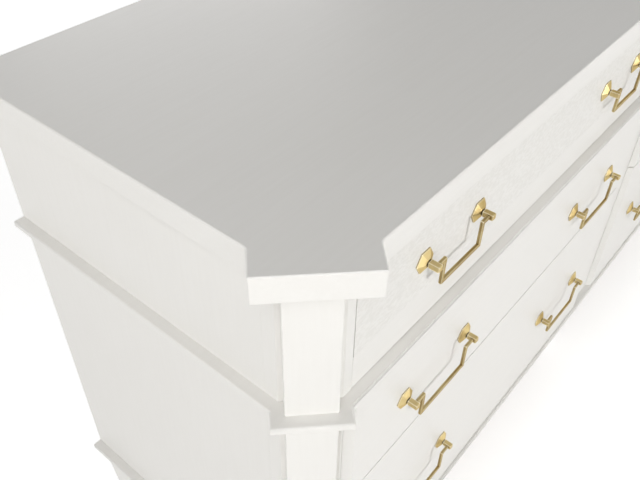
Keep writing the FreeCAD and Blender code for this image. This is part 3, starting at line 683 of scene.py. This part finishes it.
# %% [markdown]
# ## The floor's white
#
# A glow makes the floor nearly white, and a thin diffuse part on top of the glow still takes the
# soft shadow under the feet. A floor that only glows would leave the chest hanging in the air.
# The glow grows with the distance from the chest, so the floor runs into the surround with no
# horizon. Diffuse light meets a plain pale floor instead, which throws a little of it back up.

# %% a pale floor
GLOW_FROM, GLOW_TO = 1.2, 4.5                 # distances from the middle of the chest
GLOW_NEAR, GLOW_FAR = 0.565, 0.95             # strengths at those distances
THIN_WHITE, FLOOR_WHITE = (0.85, 0.85, 0.85, 1.0), (0.74, 0.73, 0.71, 1.0)


def pale_floor(name):
    material = bpy.data.materials.new(name)
    material.use_nodes = True
    material.node_tree.nodes.clear()
    studio = Nodes(material.node_tree)
    place = studio.add("TexCoord")["Object"]
    distance = studio.add("VectorMath", {0: place}, operation="LENGTH")["Value"]
    strength = studio.spread(distance, GLOW_NEAR, GLOW_FAR, GLOW_FROM, GLOW_TO)
    glow = studio.add("Emission", {"Strength": strength})["Emission"]
    thin = studio.add("BsdfDiffuse", {"Color": THIN_WHITE})["BSDF"]
    full = studio.add("BsdfDiffuse", {"Color": FLOOR_WHITE})["BSDF"]
    seen = studio.add("AddShader", {0: glow, 1: thin})["Shader"]
    chosen = studio.add("MixShader", {0: seen_or_mirrored(studio), 1: full, 2: seen})["Shader"]
    studio.add("OutputMaterial", {"Surface": chosen})
    return material


floor_mesh.materials.append(pale_floor("pale_floor"))
print("floor finish:", floor_mesh.materials[0].name)

# %% [markdown]
# ## Surround
#
# The world plays the walls and the ceiling. Diffuse light from it is soft and even round the sides
# and weak from overhead, as under a low ceiling, so the top of the chest is greyer than its front.

# %% surround
LEVEL, OVERHEAD = 1.13, 0.18          # strengths at the height of the eye and above
OVERHEAD_FROM = 0.5                   # the upward part of a direction that is already overhead
SOFT_WHITE, PLAIN_WHITE = (1.0, 0.995, 0.985, 1.0), (1.0, 1.0, 1.0, 1.0)
world = bpy.data.worlds.new("surround")
world.use_nodes = True
world.node_tree.nodes.clear()
walls = Nodes(world.node_tree)
upward = walls.add("SeparateXYZ", {0: walls.add("TexCoord")["Generated"]})["Z"]
strength = walls.spread(upward, LEVEL, OVERHEAD, 0.0, OVERHEAD_FROM)
soft = walls.add("Background", {"Color": SOFT_WHITE, "Strength": strength})["Background"]
plain = walls.add("Background", {"Color": PLAIN_WHITE})["Background"]
chosen = walls.add("MixShader", {0: seen_or_mirrored(walls), 1: soft, 2: plain})["Shader"]
walls.add("OutputWorld", {"Surface": chosen})
bpy.context.scene.world = world
print("surround ready")

# %% [markdown]
# ## Lights
#
# Five large soft lamps, each for a reason of its own: the front lamp is small enough to give the
# pulls a shadow, the side lamp fills the end panel, the key evens out the near corner, the near
# lamp lifts the corner of the top, and the rear lamp its far half. A sun would give one hard
# shadow and leave the end panel dark.

# %% lights
NEAR_CORNER, NEAR_TOP = (-0.75, -0.20, 0.55), (-0.75, -0.10, 0.86)
FRONT_MIDDLE, BACK_MIDDLE = (0.0, -0.2, 0.5), (0.0, 0.2, 0.5)
LIGHTS = [      # name, place, what it is aimed at, width, height and watts
    ("key", (-3.4, -4.6, 1.5), NEAR_CORNER, 2.2, 1.6, 21.0),
    ("front", (0.2, -5.6, 0.9), FRONT_MIDDLE, 0.8, 0.6, 100.0),
    ("side", (-5.4, 0.4, 1.2), NEAR_CORNER, 2.4, 1.6, 48.0),
    ("near", (-2.0, -0.9, 2.3), NEAR_TOP, 1.0, 1.0, 16.5),
    ("rear", (2.6, 4.2, 2.0), BACK_MIDDLE, 3.0, 1.8, 49.0),
]


def soft_light(name, place, aim, width, height, watts):
    data = bpy.data.lights.new(name, "AREA")
    data.shape = "RECTANGLE"
    data.size, data.size_y = width, height
    data.energy = watts
    light = bpy.data.objects.new(name, data)
    light.location = place
    light.rotation_euler = (Vector(aim) - Vector(place)).to_track_quat("-Z", "Y").to_euler()
    bpy.context.scene.collection.objects.link(light)


for light in LIGHTS:
    soft_light(*light)

# %% [markdown]
# ## Camera
#
# The camera stands close to the near left corner and looks down on it. It could be aimed at a
# point, but that leaves the roll open. So its three axes are given directly: right and down in the
# picture, and ahead. The camera's own axes are right, up and back, so two of them change sign.

# %% camera
RIGHT = Vector((0.64141174, -0.76711623, 0.01112069))
DOWN = Vector((-0.50414, -0.43236, -0.74761))
AHEAD = Vector((0.57831007, 0.47391802, -0.66404757))
EYE = (-1.1308, -0.4523, 1.2244)
camera_data = bpy.data.cameras.new("camera")
camera_data.sensor_width = 36.0
camera_data.lens = 40.13
camera_data.clip_start = 0.02
camera = bpy.data.objects.new("camera", camera_data)
turn = Matrix((RIGHT, -DOWN, -AHEAD)).transposed().to_4x4()
camera.matrix_world = Matrix.Translation(EYE) @ turn
bpy.context.scene.collection.objects.link(camera)
bpy.context.scene.camera = camera
bpy.context.scene.view_settings.view_transform = "Standard"
print("camera at", tuple(round(x, 3) for x in camera.matrix_world.translation))

# %% [markdown]
# ## The end
#
# The largest shift between the box of the dressed chest and the model's own box is printed, to show
# that the looks haven't changed the size.

# %% sizes and end
new_low, new_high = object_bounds()
grown = max(abs(a - b) for a, b in zip((*cad_low, *cad_high), (*new_low, *new_high)))
print(f"grown by at most {grown * 1000:.3f} mm")
